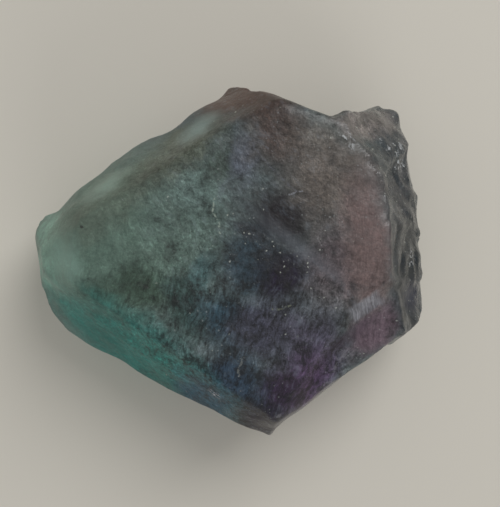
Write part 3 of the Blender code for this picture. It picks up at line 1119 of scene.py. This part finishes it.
def spar_material(look):
    """Frosted fluorite: clear by transmission and absorption, with colour zones and veils."""
    paint = Paint("fluorite_spar")
    metres = paint.node("ShaderNodeTexCoord", output="Object")
    scaled = paint.vector("MULTIPLY", metres, (1.0 / MM,) * 3)
    place = paint.vector("SUBTRACT", scaled, (*AXIS, 0.0))
    x, y, z = paint.parts(place)
    broken = towards(x, y, BREAK_AZIMUTH).rise(*GLOSSY_BREAK)

    gain = (look.colour_gain,) * 3
    colour = paint.mix(1.0, spar_colour(paint, place), gain, "MULTIPLY")
    frost = (paint.noise(place, *FROST) - 0.5) * FROST_SPREAD + look.frost
    glossy = z.rise(*GLOSSY_TOP).most(z.rise(*GLOSSY_FOOT)).most(broken * BREAK_GLOSS)
    glossy = glossy.most(towards(x, y, FRONT_AZIMUTH).rise(*GLOSSY_FRONT))
    glossy = glossy * (1.0 - rim_of(paint) * RIM_DULLING)
    bumps = paint.noise(place, *FINE_BUMPS) + paint.noise(place, *WIDE_BUMPS) * WIDE_BUMP_SHARE
    bumps = bumps * (1.0 - broken * BREAK_SMOOTHING) + side_steps(paint, place) * STEP_BUMP
    relief = {"Height": bumps, "Distance": look.bump, "Strength": 1.0}
    paint.finish({
        "Base Color": colour,
        "Roughness": frost - broken * BREAK_POLISH,
        "Coat Weight": (glossy * (1.0 - LEAST_GLOSS) + LEAST_GLOSS) * look.lustre,
        "Normal": paint.node("ShaderNodeBump", None, relief),
        "Coat Roughness": look.lustre_roughness,
        "Coat IOR": REFRACTION,
        "Transmission Weight": look.clearness,
        "IOR": REFRACTION,
        "Specular IOR Level": SPECULAR_LEVEL,
    })
    tint = {"Color": tuple(look.body_tint), "Density": look.body_density}
    volume = paint.node("ShaderNodeVolumeAbsorption", None, tint)
    paint.tree.links.new(volume.socket, paint.output.inputs["Volume"])
    return paint.material


class CrystalLook(bpy.types.PropertyGroup):
    """Finish of the crystal."""

    clearness: bpy.props.FloatProperty(
        name="Clearness", description="Share of light that passes in", default=0.6, min=0.0, max=1.0
    )
    frost: bpy.props.FloatProperty(
        name="Frost", description="Roughness of the skin", default=0.42, min=0.0, max=1.0
    )
    lustre: bpy.props.FloatProperty(
        name="Lustre", description="Strength of the satin shine", default=0.5, min=0.0, max=1.0
    )
    lustre_roughness: bpy.props.FloatProperty(
        name="Lustre roughness", description="Roughness of that shine", default=0.2, min=0.0, max=1.0
    )
    colour_gain: bpy.props.FloatProperty(
        name="Colour gain", description="Brightness of the zone colours", default=2.1, min=0.0
    )
    bump: bpy.props.FloatProperty(
        name="Bump", description="Depth of the frosting", default=0.00006, unit="LENGTH"
    )
    body_tint: bpy.props.FloatVectorProperty(
        name="Body tint",
        description="Colour that deep crystal lets through",
        subtype="COLOR",
        size=3,
        default=(0.45, 0.62, 0.62),
        min=0.0,
        max=1.0,
    )
    body_density: bpy.props.FloatProperty(
        name="Body density", description="Absorption in each metre", default=120.0, min=0.0
    )


class CrystalShape(bpy.types.PropertyGroup):
    """Sizes of the crystal's skin."""

    grain: bpy.props.FloatProperty(
        name="Grain",
        description="Edge length of the skin's small faces",
        default=0.0002,
        min=0.00015,
        unit="LENGTH",
        precision=5,
    )
    wear: bpy.props.FloatProperty(
        name="Wear",
        description="How far handling has rounded the upper edges of the pale end",
        default=0.001,
        min=0.0,
        unit="LENGTH",
        precision=5,
    )


class StudioSettings(bpy.types.PropertyGroup):
    """Light, floor and camera."""

    floor_colour: bpy.props.FloatVectorProperty(
        name="Floor colour",
        description="Colour of the plain floor",
        subtype="COLOR",
        size=3,
        default=(0.6, 0.57, 0.505),
        min=0.0,
        max=1.0,
    )
    key_power: bpy.props.FloatProperty(
        name="Key power", description="Power of the large soft light", default=1.6, unit="POWER"
    )
    fill_power: bpy.props.FloatProperty(
        name="Fill power", description="Power of the low soft light", default=0.8, unit="POWER"
    )
    sky_strength: bpy.props.FloatProperty(
        name="Sky strength", description="Strength of the even light", default=0.42
    )


class CRYSTAL_OT_body(bpy.types.Operator):
    """Cuts the crystal, skins it and carves its surface"""

    bl_idname = "crystal.body"
    bl_label = "Crystal"

    def execute(self, context):
        shape = context.scene.crystal_shape
        crystal = rough_out()
        grain = shape.grain * 1.0
        apply_modifier(crystal, "REMESH", mode="VOXEL", voxel_size=grain)
        wear(crystal, EDGE_WEAR, grain)
        wear_group(crystal)
        wear(crystal, shape.wear / MM, grain, vertex_group=WORN)
        crystal.vertex_groups.clear()
        carve(crystal, grain / MM)
        crystal.data.transform(Matrix.Translation(Vector((*AXIS, 0.0)) * MM))
        bpy.ops.object.shade_smooth()
        crystal.data.materials.append(spar_material(context.scene.crystal_look))
        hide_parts(NODE)
        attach(crystal, "root")
        return {"FINISHED"}


def hang_light(name, location, size, power):
    """A round soft light that points at the crystal. Its place and size are in metres."""
    light = bpy.data.lights.new(name, "AREA")
    light.shape = "DISK"
    light.size = size
    light.energy = power
    lamp = bpy.data.objects.new(name, light)
    bpy.context.scene.collection.objects.link(lamp)
    lamp.location = location
    lamp.rotation_euler = (-lamp.location).to_track_quat("-Z", "Y").to_euler()


def lay_floor(colour):
    """A plain floor just under the crystal."""
    deselect()
    bpy.ops.mesh.primitive_plane_add(size=FLOOR_SIZE, location=(0.0, 0.0, -FLOOR_GAP))
    floor = bpy.context.object
    floor.name = "floor"
    paint = Paint("floor_paper")
    paint.finish({"Base Color": tuple(colour), "Roughness": FLOOR_ROUGHNESS})
    floor.data.materials.append(paint.material)


def light_sky(strength):
    """An even white light from all around."""
    world = bpy.data.worlds.new("studio")
    world.use_nodes = True
    sky = world.node_tree.nodes["Background"]
    sky.inputs["Color"].default_value = (1.0, 1.0, 1.0, 1.0)
    sky.inputs["Strength"].default_value = strength
    bpy.context.scene.world = world


def set_camera():
    """Looks straight down on the crystal from close by."""
    camera = bpy.data.cameras.new("camera")
    camera.sensor_width = SENSOR_WIDTH
    camera.lens = SENSOR_WIDTH * LENS_RATIO
    camera.clip_start = NEAREST_SEEN
    eye = bpy.data.objects.new("camera", camera)
    bpy.context.scene.collection.objects.link(eye)
    eye.location = EYE
    bpy.context.scene.camera = eye


class CRYSTAL_OT_stage(bpy.types.Operator):
    """Lays the floor, hangs the lights and sets the camera"""

    bl_idname = "crystal.stage"
    bl_label = "Stage"

    def execute(self, context):
        settings = context.scene.crystal_studio
        lay_floor(settings.floor_colour)
        hang_light("key", KEY_PLACE, KEY_SIZE, settings.key_power)
        hang_light("fill", FILL_PLACE, FILL_SIZE, settings.fill_power)
        light_sky(settings.sky_strength)
        set_camera()
        context.scene.view_settings.view_transform = "Standard"
        return {"FINISHED"}


class CRYSTAL_PT_panel(bpy.types.Panel):
    """Lists the crystal's settings and the steps that build it"""

    bl_idname = "CRYSTAL_PT_panel"
    bl_label = "Fluorite octahedron"
    bl_space_type = "VIEW_3D"
    bl_region_type = "UI"
    bl_category = "Crystal"

    def draw(self, context):
        for group in (context.scene.crystal_shape, context.scene.crystal_look):
            box = self.layout.box()
            for name in group.__annotations__:
                box.prop(group, name)
        self.layout.operator(CRYSTAL_OT_body.bl_idname)
        box = self.layout.box()
        for name in StudioSettings.__annotations__:
            box.prop(context.scene.crystal_studio, name)
        self.layout.operator(CRYSTAL_OT_stage.bl_idname)


GROUPS = {
    "crystal_shape": CrystalShape,
    "crystal_look": CrystalLook,
    "crystal_studio": StudioSettings,
}
CLASSES = (*GROUPS.values(), CRYSTAL_OT_body, CRYSTAL_OT_stage, CRYSTAL_PT_panel)


def register():
    for cls in CLASSES:
        bpy.utils.register_class(cls)
    for name, group in GROUPS.items():
        setattr(bpy.types.Scene, name, bpy.props.PointerProperty(type=group))


def unregister():
    for name in GROUPS:
        delattr(bpy.types.Scene, name)
    for cls in reversed(CLASSES):
        bpy.utils.unregister_class(cls)


def main():
    register()
    bpy.ops.crystal.body()
    bpy.ops.crystal.stage()


if __name__ == "__main__":
    main()
